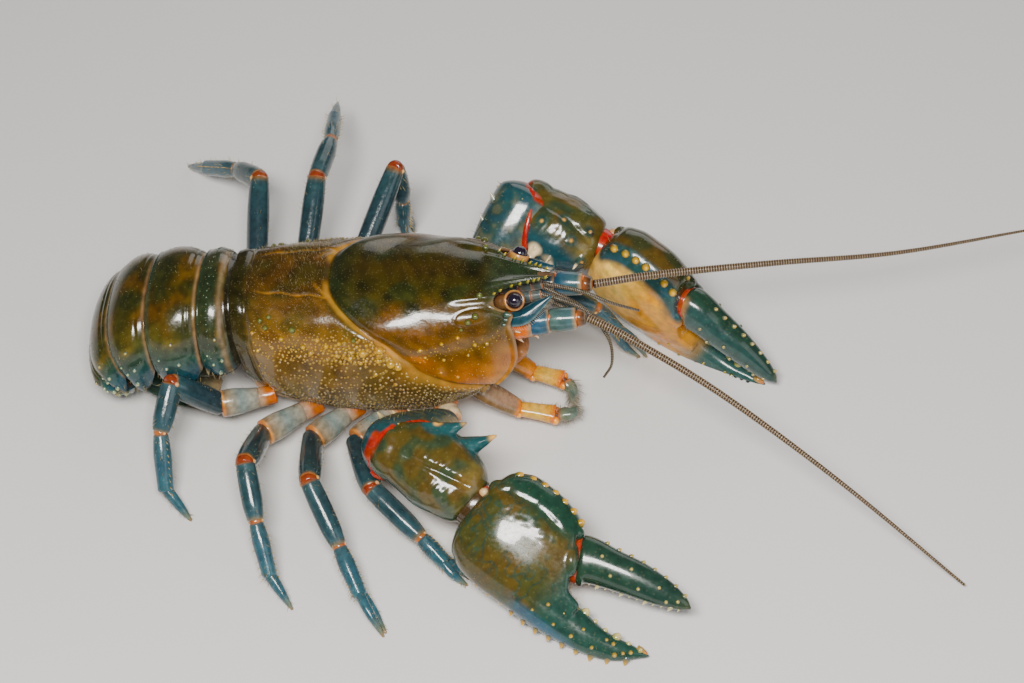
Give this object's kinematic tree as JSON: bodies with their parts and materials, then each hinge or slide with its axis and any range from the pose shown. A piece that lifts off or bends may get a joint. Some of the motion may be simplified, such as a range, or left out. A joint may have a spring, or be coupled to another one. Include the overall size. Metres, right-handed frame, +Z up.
{
  "type": "alpine spiny crayfish",
  "caption": "Life-size still model of a spiny freshwater crayfish standing with its tail curled under and claws held low.",
  "frame": {"origin": "bottom centre of the whole model's box, on the floor", "axes": "+X towards the head, +Y to the animal's left, +Z up"},
  "size_m": [0.181, 0.1288, 0.039],
  "materials": {
    "shell": "glossy wet olive-brown shell",
    "tail": "glossy wet olive shell",
    "claw": "glossy wet green shell",
    "leg": "glossy wet slate-blue shell",
    "pale_shell": "satin pale shell",
    "orange_shell": "glossy orange shell",
    "head_limb": "glossy wet dark teal shell",
    "feeler": "satin brown",
    "eye": "gloss"
  },
  "bodies": {
    "root": {"abdomen_1": "tail", "abdomen_2": "tail", "abdomen_3": "tail", "abdomen_4": "tail", "abdomen_5": "tail", "abdomen_6": "tail", "antenna_base_left": "head_limb", "antenna_base_right": "head_limb", "antenna_scale_left": "head_limb", "antenna_scale_right": "head_limb", "antennule_left": "head_limb", "antennule_right": "head_limb", "carapace": "shell", "claw_carpus_left": "claw", "claw_carpus_right": "claw", "claw_dactyl_left": "claw", "claw_dactyl_right": "claw", "claw_hand_left": "claw", "claw_hand_right": "claw", "claw_ischium_left": "pale_shell", "claw_ischium_right": "pale_shell", "claw_merus_left": "claw", "claw_merus_right": "claw", "eye_left": "eye", "eye_right": "eye", "eyestalk_left": "orange_shell", "eyestalk_right": "orange_shell", "flagellum_far_left": "feeler", "flagellum_far_right": "feeler", "flagellum_near_left": "feeler", "flagellum_near_right": "feeler", "leg_1_lower_left": "leg", "leg_1_lower_right": "leg", "leg_1_upper_left": "leg", "leg_1_upper_right": "leg", "leg_2_lower_left": "leg", "leg_2_lower_right": "leg", "leg_2_upper_left": "leg", "leg_2_upper_right": "leg", "leg_3_lower_left": "leg", "leg_3_lower_right": "leg", "leg_3_upper_left": "leg", "leg_3_upper_right": "leg", "leg_4_lower_left": "leg", "leg_4_lower_right": "leg", "leg_4_upper_left": "leg", "leg_4_upper_right": "leg", "maxilliped_left": "orange_shell", "maxilliped_palp_left": "leg", "maxilliped_palp_right": "leg", "maxilliped_right": "orange_shell", "mouthparts": "orange_shell", "telson": "tail", "thorax_underside": "pale_shell", "uropod_inner_left": "tail", "uropod_inner_right": "tail", "uropod_outer_left": "tail", "uropod_outer_right": "tail"}
  },
  "joints": []
}
